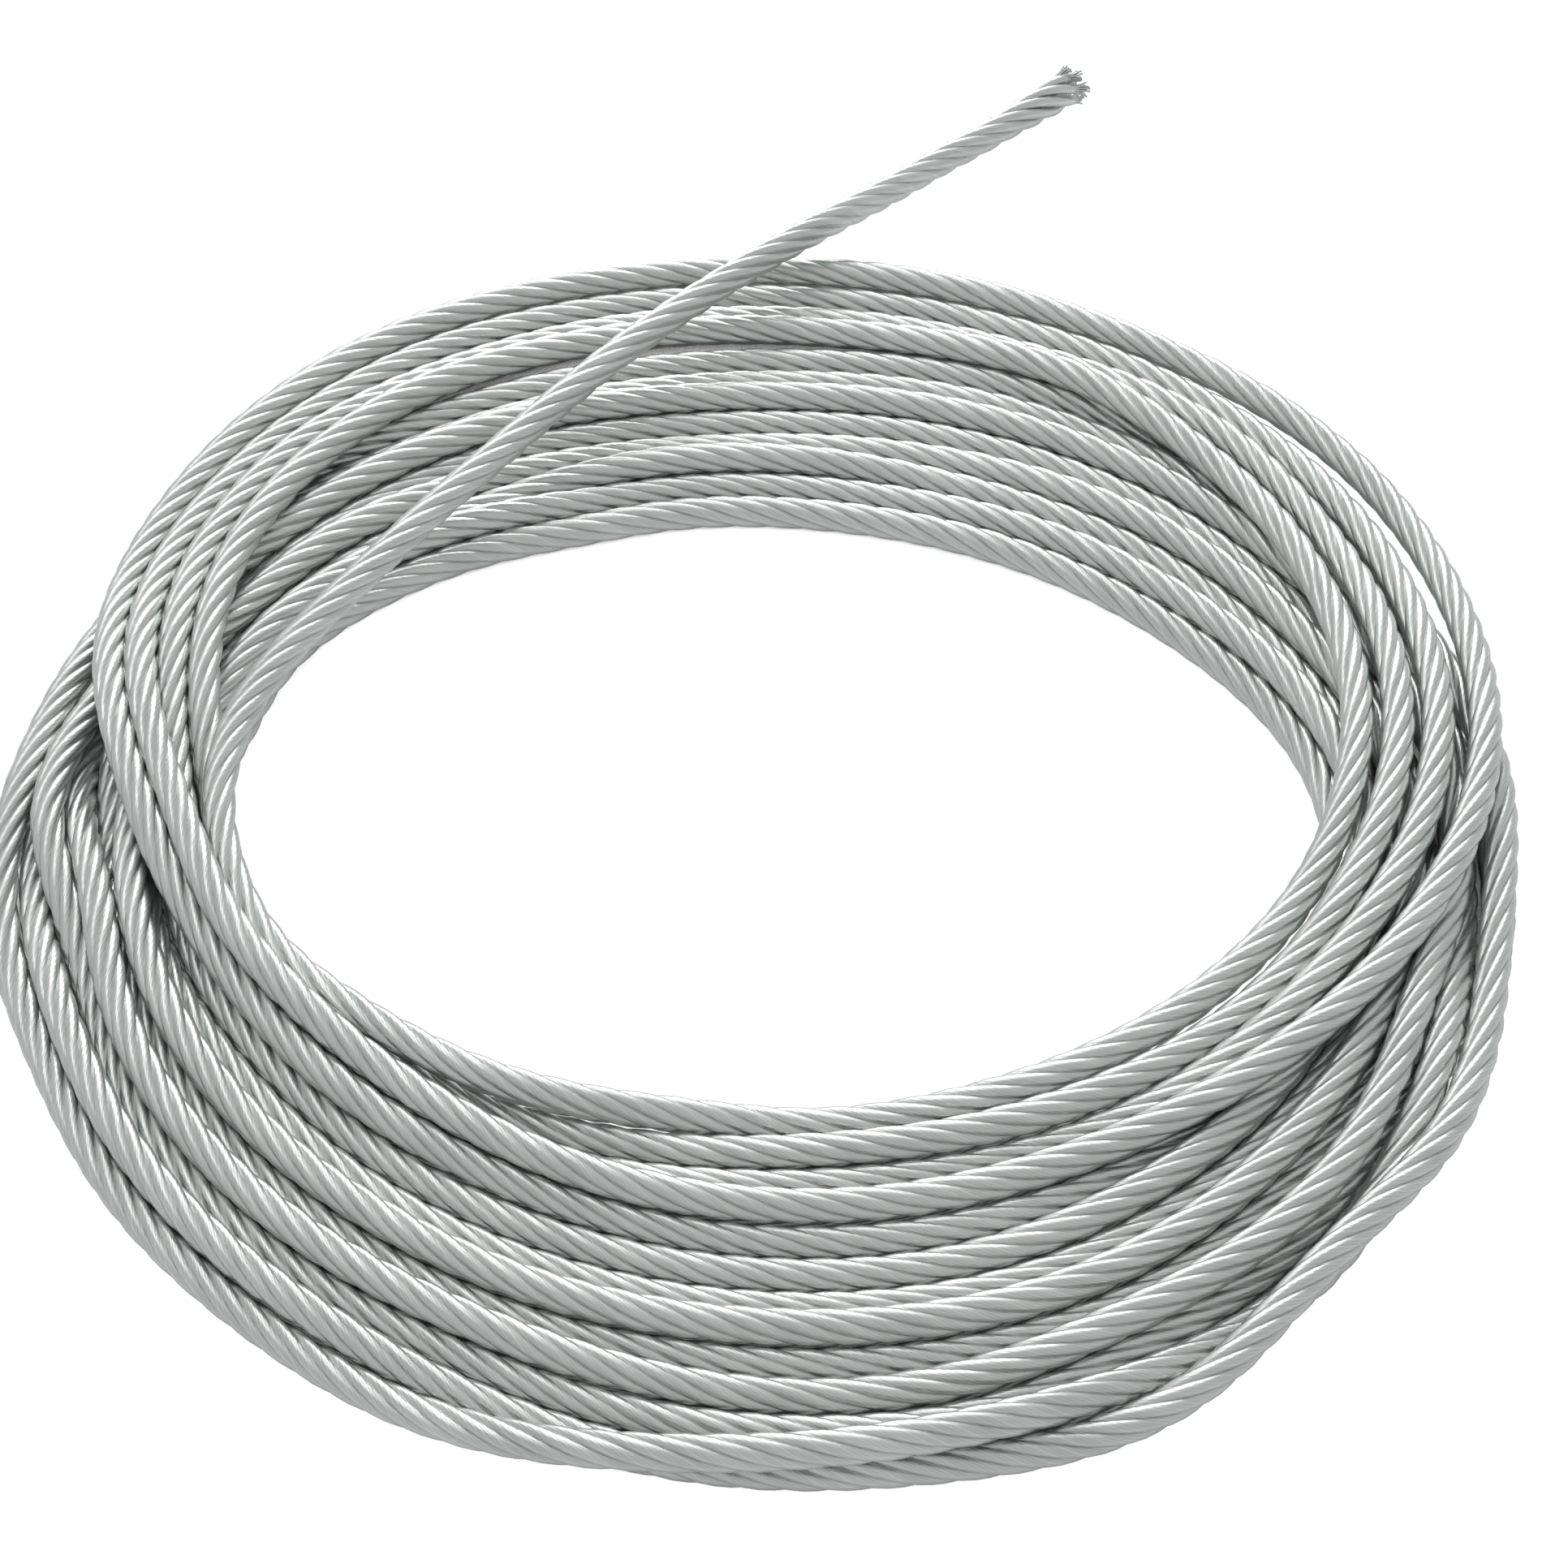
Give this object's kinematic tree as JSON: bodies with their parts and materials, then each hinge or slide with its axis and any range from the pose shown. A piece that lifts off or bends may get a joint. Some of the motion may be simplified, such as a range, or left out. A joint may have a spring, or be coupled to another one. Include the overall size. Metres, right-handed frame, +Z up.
{
  "type": "coiled steel wire rope",
  "caption": "Hank of bare galvanised steel wire rope, coiled flat, with one cut end led out over the coil and its strands sprung slightly open.",
  "frame": {"origin": "on the coil's axis, at the floor the coil lies on", "axes": "+Z up along the coil's axis; +Y towards the side where the free end is led out; +X to the right of it"},
  "size_m": [0.268, 0.3276, 0.0231],
  "materials": {
    "zinc_rope": "galvanised drawn wire, bright zinc grey",
    "wire_ends": "galvanised wire with bare sheared ends"
  },
  "bodies": {
    "rope": {"wound_coil": "zinc_rope", "free_end": "zinc_rope", "strand_1": "zinc_rope", "strand_2": "zinc_rope", "strand_3": "zinc_rope", "strand_4": "zinc_rope", "strand_5": "zinc_rope", "strand_6": "zinc_rope", "core_strand": "zinc_rope", "wires_1": "wire_ends", "wires_2": "wire_ends", "wires_3": "wire_ends", "wires_4": "wire_ends", "wires_5": "wire_ends", "wires_6": "wire_ends", "core_wires": "wire_ends"}
  },
  "joints": []
}
